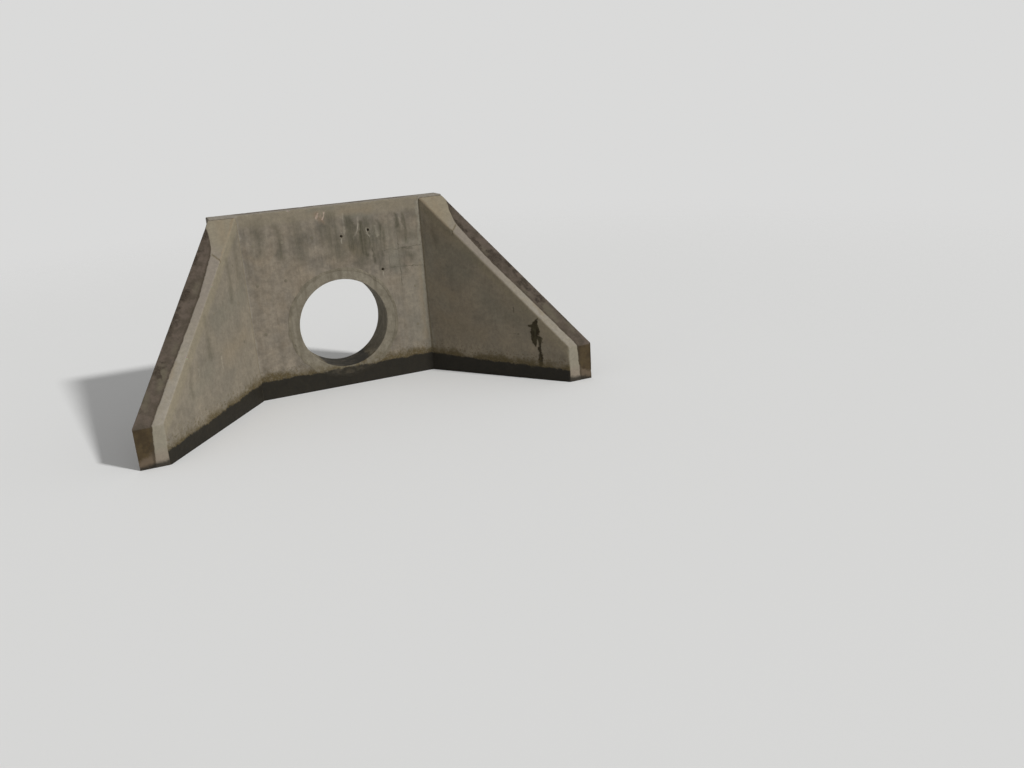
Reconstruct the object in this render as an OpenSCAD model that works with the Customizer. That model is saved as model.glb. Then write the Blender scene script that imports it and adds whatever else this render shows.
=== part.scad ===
// Culvert headwall with two flared wing walls, cast in place in concrete.
// The headwall crosses the channel along X, the channel leaves towards -Y, and Z is up.
// The origin is the middle of the headwall's foot.

/* [Headwall] */
// Width of the exposed face, from inner corner to inner corner
face_w = 2740; // [2300:10:4000]
// Height of the headwall above its foot
wall_h = 2800; // [2300:10:3600]
// Thickness of the headwall
wall_t = 305; // [230:5:450]

/* [Wing walls] */
// Length of a wing along its channel face
wing_len = 2450; // [1600:10:3600]
// Thickness of a wing
wing_t = 305; // [230:5:450]
// Angle between a wing and the flow, in degrees
flare = 38; // [15:1:55]
// Height of a wing's upright end
end_h = 560; // [350:10:1200]

/* [Exposed edges] */
// Leg of the chamfer along every exposed edge
chamfer = 12; // [8:1:40]

/* [Corner joints] */
// Width of the upright joint between the headwall and a wing
joint_w = 20; // [12:1:30]
// Width of the sealant bead, measured along the headwall's face
sealant_w = 32; // [15:1:60]
// How far the bead lies back from the channel face
bead_back = 4; // [1:1:10]
// How far the filler board ends below the top and short of the outer face
board_back = 12; // [5:1:25]

/* [Pipe] */
// Inside diameter of the concrete pipe
pipe_bore_d = 1372; // [900:1:1500]
// Thickness of the pipe's wall
pipe_wall = 140; // [90:1:180]
// Height of the pipe's axis above the foot
pipe_axis_h = 1000; // [950:10:1200]
// Thickness of the mortar round the pipe
mortar_t = 25; // [15:1:40]
// How far the mortar is pointed back from both faces of the wall
mortar_back = 8; // [2:1:20]
// How far the pipe runs on behind the wall
pipe_behind = 300; // [180:10:900]
// Depth of the groove that takes the next pipe
groove_depth = 90; // [50:5:130]
// Thickness of the wall left round the groove
groove_rim = 62; // [45:1:80]

/* [Open form-tie holes] */
// Diameter of a tie hole at the face
tie_d = 46; // [30:1:60]
// Diameter at the bottom of a tie hole
tie_bottom_d = 26; // [15:1:29]
// Depth of a tie hole
tie_depth = 42; // [20:1:80]

/* [Hidden] */
$fn = 96;

// Concrete, aged board, sealant, pipe concrete and mortar
wall_colour = [0.49, 0.46, 0.39];
board_colour = [0.20, 0.17, 0.13];
sealant_colour = [0.14, 0.14, 0.13];
pipe_colour = [0.46, 0.45, 0.41];
mortar_colour = [0.56, 0.54, 0.48];

// Places of the open tie holes on the face: across from the middle, and up from the foot
tie_places = [[110, 2330], [530, 2380], [700, 1750]];

// The face's plane, and the inner corner where it meets the right wing
face_y = -wall_t / 2;
corner = [face_w / 2, face_y, 0];

// Directions of the right wing in plan: along it, and out of its outer face
along = [sin(flare), -cos(flare), 0];
outward = [cos(flare), sin(flare), 0];

// A wing's length across its thickness when cut parallel with the headwall
skew_t = wing_t / cos(flare);
block_w = face_w + 2 * skew_t;

// The sloping top is level along X and leaves the headwall at its full height
wing_run = wing_len * cos(flare);
slope = atan2(wall_h - end_h, wing_run);
slope_up = [0, -sin(slope), cos(slope)];

pipe_r = pipe_bore_d / 2;
pipe_outer_r = pipe_r + pipe_wall;
hole_r = pipe_outer_r + mortar_t;
groove_r = pipe_outer_r - groove_rim;
pipe_back_y = wall_t / 2 + pipe_behind;

// Larger than the whole structure, and a little more than flush, for cuts
far = 4 * (wall_h + wing_len + face_w);
over = 1;

// Everything on the side of the plane through a point that its unit normal points to
module beyond(point, normal) {
    translate(point)
        rotate([0, acos(normal.z), atan2(normal.y, normal.x)])
            translate([-far / 2, -far / 2, 0])
                cube(far);
}

// The corner cut off by a chamfer on the edge through a point, between two faces
module edge_cut(point, face_a, face_b, leg = chamfer) {
    middle = (face_a + face_b) / norm(face_a + face_b);
    half_turn = acos(face_a * face_b) / 2;
    beyond(point - middle * leg * sin(half_turn), middle);
}

// A cylinder along the pipe's axis, from one Y to another
module along_pipe(r, from_y, to_y) {
    translate([0, to_y, pipe_axis_h])
        rotate([90, 0, 0])
            cylinder(r = r, h = to_y - from_y);
}

// A form-tie hole in the face, narrower at its bottom
module tie_hole(place) {
    slack = (tie_d - tie_bottom_d) / 2 / tie_depth;
    translate([place.x, face_y - over, place.y])
        rotate([-90, 0, 0])
            cylinder(d1 = tie_d + 2 * over * slack, d2 = tie_bottom_d, h = tie_depth + over);
}

// The chamfer of the headwall's front top edge, between the inner corners only
module face_chamfer() {
    translate([-face_w / 2, face_y, wall_h])
        rotate([90, 0, 90])
            linear_extrude(face_w)
                polygon([[-over, over], [-over, -chamfer - over], [chamfer + over, over]]);
}

module headwall() {
    half = block_w / 2;
    color(wall_colour)
        difference() {
            translate([-half, face_y, 0])
                cube([block_w, wall_t, wall_h]);
            along_pipe(hole_r, face_y - over, wall_t / 2 + over);
            face_chamfer();
            edge_cut([0, wall_t / 2, wall_h], [0, 1, 0], [0, 0, 1]);
            for (side = [-1, 1]) {
                edge_cut([side * half, 0, wall_h], [side, 0, 0], [0, 0, 1]);
                edge_cut([side * half, wall_t / 2, 0], [side, 0, 0], [0, 1, 0]);
            }
            for (place = tie_places)
                tie_hole(place);
        }
}

// Plan point of the right wing: along its channel face, then across, parallel with the headwall
function wing_point(run, across) =
    corner + along * run / cos(flare) + [across, 0, 0];

// Upright prism on a plan outline of the wing, cut off by the sloping top lowered by a drop
module under_slope(outline, drop = 0) {
    difference() {
        linear_extrude(wall_h)
            polygon([for (p = outline) [p.x, p.y]]);
        beyond(corner + [0, 0, wall_h] - slope_up * drop, slope_up);
    }
}

module right_wing() {
    toe = wing_point(wing_run, 0);
    toe_outer = wing_point(wing_run, skew_t);
    top_inner = corner + [0, 0, wall_h];
    color(wall_colour)
        difference() {
            under_slope([wing_point(joint_w, 0), toe, toe_outer, wing_point(joint_w, skew_t)]);
            edge_cut(top_inner, slope_up, -outward);
            edge_cut(top_inner + [skew_t, 0, 0], slope_up, outward);
            edge_cut(toe + [0, 0, end_h], slope_up, [0, -1, 0]);
            edge_cut(toe, [0, -1, 0], -outward);
            edge_cut(toe_outer, [0, -1, 0], outward);
        }
}

module left_wing() {
    mirror([1, 0, 0])
        right_wing();
}

// Board in the joint, between the bead and the outer face
module right_joint_filler() {
    color(board_colour)
        under_slope([
            wing_point(0, sealant_w), wing_point(joint_w, sealant_w),
            wing_point(joint_w, skew_t - board_back), wing_point(0, skew_t - board_back)
        ], board_back);
}

module left_joint_filler() {
    mirror([1, 0, 0])
        right_joint_filler();
}

// Bead that closes the joint on the channel side
module right_joint_sealant() {
    color(sealant_colour)
        under_slope([
            wing_point(0, bead_back), wing_point(joint_w, bead_back),
            wing_point(joint_w, sealant_w), wing_point(0, sealant_w)
        ], board_back + chamfer);
}

module left_joint_sealant() {
    mirror([1, 0, 0])
        right_joint_sealant();
}

// Last length of pipe, flush with the face, with a groove at its back end
module pipe_end() {
    color(pipe_colour)
        difference() {
            along_pipe(pipe_outer_r, face_y, pipe_back_y);
            along_pipe(pipe_r, face_y - over, pipe_back_y + over);
            along_pipe(groove_r, pipe_back_y - groove_depth, pipe_back_y + over);
        }
}

module mortar_ring() {
    color(mortar_colour)
        difference() {
            along_pipe(hole_r, face_y + mortar_back, wall_t / 2 - mortar_back);
            along_pipe(pipe_outer_r, face_y, wall_t / 2);
        }
}

headwall();
right_wing();
left_wing();
right_joint_filler();
left_joint_filler();
right_joint_sealant();
left_joint_sealant();
pipe_end();
mortar_ring();
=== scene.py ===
import itertools
import math

import bpy
import numpy as np
from mathutils import Matrix, Vector


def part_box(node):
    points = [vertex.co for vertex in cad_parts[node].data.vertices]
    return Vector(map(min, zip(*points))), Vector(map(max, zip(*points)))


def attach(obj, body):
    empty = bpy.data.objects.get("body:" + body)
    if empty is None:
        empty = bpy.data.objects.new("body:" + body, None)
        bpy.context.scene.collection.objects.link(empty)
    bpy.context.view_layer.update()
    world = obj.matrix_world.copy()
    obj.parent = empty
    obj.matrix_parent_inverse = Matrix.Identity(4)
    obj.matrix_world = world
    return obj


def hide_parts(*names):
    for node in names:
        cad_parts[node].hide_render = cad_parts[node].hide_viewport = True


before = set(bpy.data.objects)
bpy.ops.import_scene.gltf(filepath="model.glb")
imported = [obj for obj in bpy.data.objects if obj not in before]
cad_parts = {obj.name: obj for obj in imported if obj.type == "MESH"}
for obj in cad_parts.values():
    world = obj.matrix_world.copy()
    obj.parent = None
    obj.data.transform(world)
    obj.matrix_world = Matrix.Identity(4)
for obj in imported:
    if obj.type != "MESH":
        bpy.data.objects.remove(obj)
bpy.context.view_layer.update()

# The camera of the photograph: metres and degrees, with a lens for a 36 mm sensor
cameraPlace = {
    "eye": (-3.083, -13.577, 4.222),
    "turn": 23.5,  # to the right of straight upstream
    "down": 17.97,
    "roll": -3.8,
    "lens": 31.47,
}


def addObject(name, data):
    # Makes an object of a mesh, camera or light, and puts it in the scene
    made = bpy.data.objects.new(name, data)
    bpy.context.scene.collection.objects.link(made)
    return made


def addCamera(v):
    data = bpy.data.cameras.new("photoCamera")
    data.lens, data.sensor_width, data.clip_end = v["lens"], 36.0, 500.0
    camera = addObject("photoCamera", data)
    camera.matrix_world = (
        Matrix.Translation(v["eye"])
        @ Matrix.Rotation(math.radians(-v["turn"]), 4, "Z")
        @ Matrix.Rotation(math.radians(90 - v["down"]), 4, "X")
        @ Matrix.Rotation(math.radians(v["roll"]), 4, "Z")
    )
    bpy.context.scene.camera = camera


addCamera(cameraPlace)
bpy.context.scene.view_settings.view_transform = "Standard"

# What the solids don't say by their boxes, in metres and degrees
layout = {"flare": 38.0, "wingThick": 0.305, "endHeight": 0.56, "chamfer": 0.012, "pipeAxis": 1.0}

wallLow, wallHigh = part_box("headwall")
wingLow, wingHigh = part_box("right_wing")
pipeLow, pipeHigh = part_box("pipe_end")
_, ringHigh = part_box("mortar_ring")
faceY, height = wallLow.y, wallHigh.z
fineStep = 0.004  # widest step of a lattice on a chamfer
anchorInset = 0.15  # how far inside a wall its anchors lie
flare, wingThick, edge = math.radians(layout["flare"]), layout["wingThick"], layout["chamfer"]
along = np.array([math.sin(flare), -math.cos(flare)])  # the right wing's direction in plan
cornerX = wallHigh.x - wingThick / math.cos(flare)  # the inner corner between headwall and wing
wingLength = (faceY - wingLow.y) / math.cos(flare)
jointRun = (faceY - wingHigh.y) / math.cos(flare)
fall = (height - layout["endHeight"]) / wingLength  # the top's drop for each metre along a wing
pipeRadius, holeRadius = pipeHigh.x, ringHigh.x


def smoothNoise(points, size, seed):
    # Random numbers on a lattice with this spacing, blended between its corners by a cubic step: -1 to 1
    grid = points / size + seed * 7.31
    cell = np.floor(grid).astype(np.int64)
    part = grid - cell
    ease = part * part * (3 - 2 * part)
    total = np.zeros(len(points))
    for corner in itertools.product((0, 1), repeat=3):
        at = cell + np.array(corner)
        key = at[:, 0] * 73856093 ^ at[:, 1] * 19349663 ^ at[:, 2] * 83492791 ^ seed * 265443
        key = (key ^ key >> 13) % 2**31 * 1274126177 % 2**32
        weight = np.where(np.array(corner) == 1, ease, 1 - ease).prod(1)
        total += weight * ((key ^ key >> 15) % 65536 / 32767.5 - 1)
    return total


def layeredNoise(points, size, seed, layers=3):
    # Each layer has half the last one's spacing and half its strength
    return sum(smoothNoise(points, size / 2**i, seed + i) / 2**i for i in range(layers))


def step(value, low, high):
    # 0 below low, 1 above high, and a cubic ease between them
    part = np.clip((value - low) / (high - low), 0, 1)
    return part * part * (3 - 2 * part)


def lines(start, *runs):
    # Sample places along an edge, in runs that follow each other: where each ends and its widest step
    parts = []
    for end, most in runs:
        parts.append(np.linspace(start, end, max(1, math.ceil((end - start) / most - 1e-6)) + 1))
        start = end
    return np.unique(np.round(np.concatenate(parts), 6))


def boxShell(*counts):
    # The lattice points on the six faces of a box, each once, and the quads between them, facing outwards
    _, countV, countW = counts
    quads = []
    for axis in range(3):
        first, second = (axis + 1) % 3, (axis + 2) % 3
        p, q = np.meshgrid(np.arange(counts[first]), np.arange(counts[second]), indexing="ij")
        for end in (0, counts[axis] - 1):
            at = np.zeros((3,) + p.shape, np.int64)
            at[axis], at[first], at[second] = end, p, q
            key = (at[0] * countV + at[1]) * countW + at[2]
            ring = [key[:-1, :-1], key[1:, :-1], key[1:, 1:], key[:-1, 1:]]
            quads.append(np.stack(ring if end else ring[::-1], -1).reshape(-1, 4))
    keys, faces = np.unique(np.concatenate(quads), return_inverse=True)
    index = np.stack([keys // (countV * countW), keys // countW % countV, keys % countW])
    return index, faces.reshape(-1, 4)


def tubeShell(rows, ring, closedPath=False):
    # Quads of a ring of points carried along a path, and the two end caps if the path is open
    p, q = np.meshgrid(np.arange(rows if closedPath else rows - 1), np.arange(ring), indexing="ij")
    ahead, aside = (p + 1) % rows, (q + 1) % ring
    quads = np.stack([p * ring + q, p * ring + aside, ahead * ring + aside, ahead * ring + q], -1)
    faces = [quads.reshape(-1, 4)]
    if not closedPath:
        k = np.arange(ring // 2 - 1)
        start = np.stack([k, (ring - 1 - k) % ring, (ring - 2 - k) % ring, k + 1], 1)
        faces += [start, start[:, ::-1] + (rows - 1) * ring]
    return np.concatenate(faces)


def joined(parts):
    # Puts several point and quad arrays into one pair
    counts = np.cumsum([0] + [len(points) for points, _ in parts])
    faces = [quads + shift for (_, quads), shift in zip(parts, counts)]
    return np.concatenate([points for points, _ in parts]), np.concatenate(faces)


def addPiece(name, points, faces, slot, replaced=(), sharp=40):
    # Whole arrays go into the mesh. The quads are turned if the volume that they close comes out negative
    a, b, c, d = (points[faces[:, i]] for i in range(4))
    volume = (a * np.cross(b, c)).sum() + (a * np.cross(c, d)).sum()
    faces = faces[:, ::-1] if volume < 0 else faces
    mesh = bpy.data.meshes.new(name)
    mesh.vertices.add(len(points))
    mesh.vertices.foreach_set("co", np.ascontiguousarray(points, np.float32).ravel())
    mesh.loops.add(faces.size)
    mesh.loops.foreach_set("vertex_index", np.ascontiguousarray(faces, np.int32).ravel())
    mesh.polygons.add(len(faces))
    mesh.polygons.foreach_set("loop_start", np.arange(0, faces.size, 4, dtype=np.int32))
    mesh.update(calc_edges=True)
    mesh.validate()
    mesh.polygons.foreach_set("use_smooth", np.ones(len(mesh.polygons), bool))
    mesh.set_sharp_from_angle(angle=math.radians(sharp))
    piece = addObject(name, mesh)
    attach(piece, "root")
    if replaced:
        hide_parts(*replaced)
    return piece


# What the materials read at each vertex. The broad marks are kept there too, the finer ones are shader nodes
fieldNames = ["broken", "arris", "beyond", "caked", "cracked"]
broadMarks = ["stain", "green", "warm", "clean"]


def setField(piece, name, values):
    kind, key = ("FLOAT_VECTOR", "vector") if values.ndim == 2 else ("FLOAT", "value")
    layer = piece.data.attributes.new(name, kind, "POINT")
    layer.data.foreach_set(key, values.astype(np.float32).ravel())


def readRows(items, name, width):
    # One value of every vertex or face of a mesh, a row each
    values = np.empty(len(items) * width)
    items.foreach_get(name, values)
    return values.reshape(-1, width)


def outerPlanes(node, most=4000, leastArea=1e-6, slack=2e-4):
    # The planes of a solid that have all of it on one side: unit normals and distances from the origin
    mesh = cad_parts[node].data
    corners = readRows(mesh.vertices, "co", 3)
    normals, middles = readRows(mesh.polygons, "normal", 3), readRows(mesh.polygons, "center", 3)
    areas = readRows(mesh.polygons, "area", 1)[:, 0]
    found = {}
    for i in np.argsort(-areas)[:most]:
        reach = (corners @ normals[i]).max()
        if areas[i] > leastArea and abs(middles[i] @ normals[i] - reach) < slack:
            found.setdefault(tuple(np.round(normals[i], 2)), (normals[i], reach))
    return np.array([n for n, _ in found.values()]), np.array([d for _, d in found.values()])


def unit(vectors):
    return vectors / np.linalg.norm(vectors, axis=-1, keepdims=True)


def wornShape(points, anchors, planes, only=None, round=0.0022, broad=0.01):
    # Each point slides on the line from its anchor to the nearest outer plane. A soft minimum of the
    # distances rounds the arrises. Returns the places, their normals and how close an arris is, 0 to 1
    normals, offsets = planes
    ray = points - anchors
    length = np.linalg.norm(ray, axis=1, keepdims=True)
    facing = ray @ normals.T / length
    gap = offsets - anchors @ normals.T
    reach = np.where(facing > 1e-6, gap / np.maximum(facing, 1e-6), np.inf)
    if only is not None:
        reach[:, -1] = np.where(only, reach[:, -1], np.inf)
    nearest = reach.min(1, keepdims=True)
    weight = np.exp((nearest - reach) / round)
    places = anchors + ray / length * (nearest - round * np.log(weight.sum(1, keepdims=True)))
    spread = np.exp((nearest - reach) / broad)
    arris = 1 - spread.max(1) / spread.sum(1)
    return places, unit(weight @ normals), np.clip(arris * 2, 0, 1)


# How the cast walls depart from true planes: height and spacing in metres
wear = {
    "bulge": (0.0012, 0.55),  # long waves left by the forms
    "ripple": (0.0005, 0.14),
    "grit": (0.0003, 0.03),
    "chip": (0.005, 0.05),  # deepest small chip on an arris
    "washed": (0.0018, 0.05),  # loss of paste at the water line
    "bite": (0.16, 0.7),  # of a large bite, as shares of its radius
    "waterLine": 0.25,
}


def weathered(places, normals, arris, seed, bites, still):
    # Waves, grit and arris chips move each point along its normal, and a bite is a rough ball pressed in
    bulge, ripple, grit, chip, washed, bite, waterLine = wear.values()
    move = bulge[0] * smoothNoise(places, bulge[1], seed)
    for (tall, size), shift in ((ripple, 3), (grit, 8)):
        move += tall * layeredNoise(places, size, seed + shift)
    chips = step(layeredNoise(places, chip[1], seed + 11), 0.7, 1.15) * step(arris, 0.25, 0.8)
    wash = step(waterLine - places[:, 2], 0.0, 0.1) * (0.6 + 0.4 * layeredNoise(places, washed[1], seed + 15))
    move -= chip[0] * chips + washed[0] * wash
    places = places + normals * np.where(still, 0.0, move)[:, None]
    broken = chips
    for centre, radius in bites:
        away = places - np.array(centre)
        distance = np.linalg.norm(away, axis=1)
        ball = radius * (1 + bite[0] * layeredNoise(places, radius * bite[1], seed + 21))
        inside = distance < ball
        places = np.where(inside[:, None], np.array(centre) + away * (ball / distance)[:, None], places)
        broken = np.maximum(broken, inside)
    return places, broken


def placeOn(side, places):
    # Place on a wall: along its channel face, depth behind it, and drop below its top. Side 0 is the headwall
    if side == 0:
        return np.stack([places[:, 0], places[:, 1] - faceY, height - places[:, 2]], 1)
    x, y = side * places[:, 0] - cornerX, places[:, 1] - faceY
    low = height + fall * y / -along[1] - places[:, 2]
    return np.stack([x * along[0] + y * along[1], y * along[0] - x * along[1], low], 1)


def wingPlan(run, thick, side):
    # Plan place from the run along the channel face, with across lines parallel to the headwall
    x = cornerX + along[0] * run + thick / math.cos(flare)
    return side * x, faceY + along[1] * run


def wingTop(run):
    return height - fall * run


def readMarks(kinds):
    # Turns rows of hundredths and millimetres into numbers and metres. A row is a stroke: its strength, where
    # it starts and ends (along and up, or along and across on a top), half width at both ends, softness
    def row(strength, *sizes):
        x0, y0, x1, y1, half, endHalf, soft = (n / 1000 for n in sizes)
        return strength / 100, (x0, y0), (x1, y1), half, endHalf, soft
    return {kind: [row(*values) for values in rows] for kind, rows in kinds.items()}


headMarks = readMarks({
    "stain": [
        (76, 250, 2570, 280, 2150, 64, 100, 60), (86, 246, 2550, 256, 2380, 30, 36, 22),
        (92, 314, 2500, 320, 2380, 18, 22, 18), (100, 428, 2490, 430, 2320, 32, 46, 22),
        (100, 430, 2320, 446, 2000, 50, 60, 40), (74, 520, 2540, 505, 2100, 44, 60, 60),
        (90, 592, 2260, 600, 1880, 17, 19, 20), (60, 630, 2540, 640, 1950, 36, 34, 50),
        (62, 696, 2510, 726, 2430, 16, 22, 24), (80, 728, 2420, 722, 2180, 24, 20, 26),
        (66, 776, 2360, 788, 2080, 16, 24, 30), (66, 714, 2260, 730, 1980, 30, 36, 40),
        (66, 320, 2250, 400, 1950, 110, 100, 100), (62, -30, 2660, -20, 2400, 60, 80, 70),
        (70, -20, 2570, -10, 2510, 30, 36, 50), (62, -80, 2500, 40, 2100, 110, 130, 120),
        (96, 966, 2560, 976, 2400, 22, 34, 24), (72, 1102, 2550, 1106, 2340, 20, 30, 26),
        (95, 1066, 2500, 1078, 2370, 12, 14, 14), (42, 1050, 1740, 1060, 1660, 30, 30, 40),
        (72, 1110, 2380, 1108, 2160, 34, 46, 50), (34, 1190, 2600, 1290, 2500, 30, 36, 60),
        (84, 1010, 2034, 1200, 2028, 16, 10, 16), (52, 1050, 1990, 1180, 1900, 60, 60, 60),
        (42, 1010, 2300, 1260, 2220, 60, 70, 80), (50, 860, 1768, 900, 1755, 10, 8, 20),
        (42, 700, 2050, 720, 1800, 26, 40, 50), (46, -560, 2600, -520, 2100, 60, 90, 90),
        (66, -820, 2580, -800, 2150, 40, 50, 60), (50, -1120, 2620, -1100, 2200, 80, 50, 90),
    ],
    # The clean strokes at 1322 and 1345 run down by the inner corner: painted light that lifts the shade
    # there.
    "clean": [
        (55, 1080, 2130, 1280, 2130, 50, 50, 30), (42, 1130, 1420, 1160, 600, 200, 180, 220),
        (40, 1240, 2260, 1270, 1620, 80, 90, 90), (90, 1345, 2720, 1345, 360, 22, 26, 18),
        (35, 1322, 2550, 1330, 2100, 22, 20, 30), (20, 890, 2220, 920, 1700, 50, 70, 90),
    ],
    "green": [
        (42, 600, 2300, 860, 2300, 100, 90, 160), (40, 900, 2050, 930, 1750, 80, 60, 100),
        (45, 220, 2600, 600, 2600, 20, 20, 50), (50, -320, 2770, 40, 2770, 20, 20, 30),
    ],
    # The warm stroke at 1310 also lightens the wall by the inner corner: painted light against the shade
    # there.
    "warm": [
        (50, 180, 2700, 600, 2690, 40, 40, 70), (60, 1310, 1700, 1310, 600, 50, 70, 60),
        (40, 200, 2150, 360, 2050, 60, 60, 100),
    ],
    "lime": [
        (42, 168, 2660, 164, 2360, 7, 10, 14), (38, 392, 2590, 380, 2440, 5, 6, 10),
        (34, 378, 2440, 342, 2360, 6, 6, 10), (32, 340, 2360, 306, 2280, 7, 11, 14),
        (52, 500, 2420, 502, 2330, 5, 8, 10), (56, 502, 2330, 548, 2280, 8, 10, 12),
        (40, 560, 2400, 562, 2330, 4, 5, 8), (40, 122, 2395, 126, 2385, 9, 9, 12),
        (44, 650, 2430, 662, 2280, 12, 18, 20), (34, 1360, 2720, 1360, 1200, 10, 12, 12),
        (42, 686, 2288, 684, 2280, 6, 6, 10), (46, 1044, 2570, 1048, 2470, 4, 5, 9),
        (34, 1074, 2380, 1100, 2335, 6, 13, 14), (40, 112, 2290, 106, 2220, 6, 6, 10),
        (40, 702, 1720, 706, 1640, 6, 5, 10),
    ],
    "rust": [
        (42, -225, 2700, -150, 2580, 32, 30, 40),
    ],
    "flake": [
        (66, -200, 2700, -222, 2640, 10, 16, 10), (36, -164, 2690, -178, 2650, 4, 6, 10),
        (84, -100, 2712, -146, 2604, 5, 9, 7),
    ],
    "line": [
        (86, 982, 2260, 986, 1460, 6, 6, 7), (90, 760, 2040, 1340, 2052, 5, 5, 7),
        (95, 840, 1768, 1350, 1728, 7, 6, 8), (36, 950, 1625, 1200, 1600, 5, 5, 10),
        (60, 822, 2000, 822, 1640, 4, 4, 8),
    ],
})
rightMarks = readMarks({
    "stain": [
        (28, 70, 2450, 80, 1950, 18, 28, 30), (30, 100, 2620, 540, 2220, 30, 30, 50),
        (40, 220, 2370, 260, 2120, 28, 44, 50), (30, 310, 2380, 330, 2150, 12, 20, 30),
        (55, 505, 2322, 570, 2266, 8, 14, 16), (24, 170, 2060, 560, 2050, 28, 20, 50),
        # The row from 860, 1930 darkens a band just below the top edge.
        (20, 1450, 950, 1600, 900, 60, 80, 100), (18, 860, 1930, 1780, 1070, 50, 50, 80),
        (24, 2150, 400, 2330, 360, 30, 30, 50),
    ],
    # The clean strokes lighten the face towards the inner corner: partly the wall's own paler tone, partly
    # painted light against the shade there.
    "clean": [
        (55, 110, 2220, 115, 1500, 50, 80, 80), (45, 100, 1500, 340, 1150, 120, 120, 140),
        (60, 30, 2600, 30, 400, 20, 24, 20),
    ],
    "green": [
        (42, 300, 1960, 820, 1880, 140, 130, 200), (44, 460, 1680, 740, 1600, 120, 120, 180),
        (36, 1040, 1300, 1300, 1000, 130, 130, 200), (36, 1500, 1020, 1760, 920, 100, 100, 150),
    ],
    "warm": [
        (90, 80, 1460, 380, 1220, 120, 120, 120), (60, 120, 1530, 400, 1530, 14, 14, 30),
        (40, 280, 2300, 520, 2160, 50, 50, 80), (40, 1400, 1200, 2250, 520, 50, 60, 100),
        (40, 250, 880, 950, 660, 120, 120, 160), (100, 30, 2765, 560, 2280, 14, 10, 16),
    ],
    "lime": [
        (16, 118, 2530, 130, 2440, 12, 20, 30), (12, 140, 1970, 330, 1880, 40, 40, 70),
        (10, 1280, 920, 1340, 700, 60, 70, 80),
    ],
    "line": [
        (75, 1560, 1112, 1552, 1045, 8, 10, 9), (50, 1440, 702, 1500, 700, 5, 5, 8),
        (60, 1525, 703, 1565, 700, 6, 5, 7), (75, 1602, 708, 1612, 702, 10, 10, 8),
        (45, 1720, 930, 1745, 915, 6, 4, 7), (30, 900, 1730, 985, 1722, 4, 4, 7),
    ],
    "tar": [
        (90, 1950, 970, 1930, 935, 5, 17, 11), (96, 1930, 935, 1904, 860, 19, 44, 12),
        (94, 1800, 858, 1862, 848, 9, 34, 11), (98, 1902, 825, 1909, 755, 60, 74, 13),
        (98, 1896, 735, 1884, 640, 64, 54, 12), (97, 1884, 640, 1900, 535, 54, 15, 12),
        (96, 1940, 682, 1976, 640, 24, 34, 12), (96, 1978, 635, 1982, 605, 34, 30, 12),
        (96, 1982, 605, 1974, 550, 28, 16, 12), (96, 1974, 550, 1962, 490, 17, 27, 12),
        (96, 1968, 470, 1978, 425, 23, 20, 12), (96, 1978, 425, 1977, 375, 21, 31, 13),
        (96, 1976, 370, 1965, 320, 31, 33, 14), (92, 1970, 310, 1975, 240, 34, 34, 20),
    ],
    "moss": [
        (72, 960, 292, 1460, 262, 26, 22, 40), (62, 1600, 272, 1840, 262, 32, 30, 40),
        (56, 2080, 290, 2260, 276, 22, 18, 34),
    ],
    "dry": [
        (75, 1893, 800, 1913, 665, 8, 13, 14), (50, 1862, 800, 1866, 700, 4, 6, 12),
        (45, 1962, 460, 1970, 300, 4, 6, 12),
    ],
})
leftMarks = readMarks({
    "stain": [
        (50, 420, 2260, 440, 1700, 26, 50, 50), (42, 1180, 1600, 1200, 1050, 20, 50, 50),
        (34, 150, 2500, 170, 2000, 30, 60, 60), (36, 1720, 1080, 1740, 660, 16, 34, 40),
    ],
    "green": [
        (36, 200, 1700, 900, 1500, 120, 120, 200), (30, 1250, 900, 1700, 720, 90, 90, 160),
    ],
    "warm": [
        (45, 300, 1100, 800, 950, 120, 120, 160),
    ],
    "lime": [
        (45, 940, 1000, 945, 820, 8, 6, 12), (40, 1520, 1000, 1525, 860, 7, 5, 12),
    ],
})
topMarks = readMarks({
    "warm": [
        (55, 60, 220, 340, 60, 50, 50, 80), (100, 30, 18, 560, 4, 16, 8, 16),
        (60, 1860, 100, 2020, 95, 18, 18, 30),
    ],
    "green": [
        (80, 2000, 200, 2160, 170, 50, 40, 50), (55, 980, 150, 1060, 160, 30, 30, 40),
        (50, 1700, 150, 1780, 150, 30, 20, 40), (60, 2300, 270, 2420, 240, 30, 30, 40),
    ],
})
headTopMarks = readMarks({
    "green": [
        (90, 1660, 260, 1720, 260, 30, 30, 30),
    ],
})


def strokeMask(spots, rows):
    # The strongest of several strokes: each is round the line between two places, with an even change of
    # half width and a soft edge
    total = np.zeros(len(spots))
    for strength, start, finish, half, endHalf, soft in rows:
        way = np.subtract(finish, start)
        share = np.clip((spots - start) @ way / (way @ way), 0, 1)
        away = np.linalg.norm(spots - start - share[:, None] * way, axis=1)
        total = np.maximum(total, strength * step(half + share * (endHalf - half) - away, -soft, soft))
    return total


# Reach, spacing and seed of the noises that shake the outlines of the marks
wanderRows = ((0.03, 0.2, 0), (0.012, 0.045, 5))


def setFields(piece, places, where, marks, above, **fields):
    # All that the wall materials read. The marks are on the channel face and, from above, on the top
    for title, values in {"place": where, **fields}.items():
        setField(piece, title, values)
    wander = [sum(reach * layeredNoise(places, size, first + seed) for reach, size, seed in wanderRows)
              for first in (200, 210)]
    wander = np.stack(wander, 1)
    onFace, onTop = step(0.014 - where[:, 1], 0, 0.008), step(0.014 - where[:, 2], 0, 0.008)
    for kind in broadMarks:
        mask = strokeMask(np.stack([where[:, 0], places[:, 2]], 1) + wander, marks.get(kind, [])) * onFace
        top = strokeMask(where[:, :2] + wander / 2, above.get(kind, [])) * onTop
        setField(piece, kind, np.maximum(mask, top))


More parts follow.
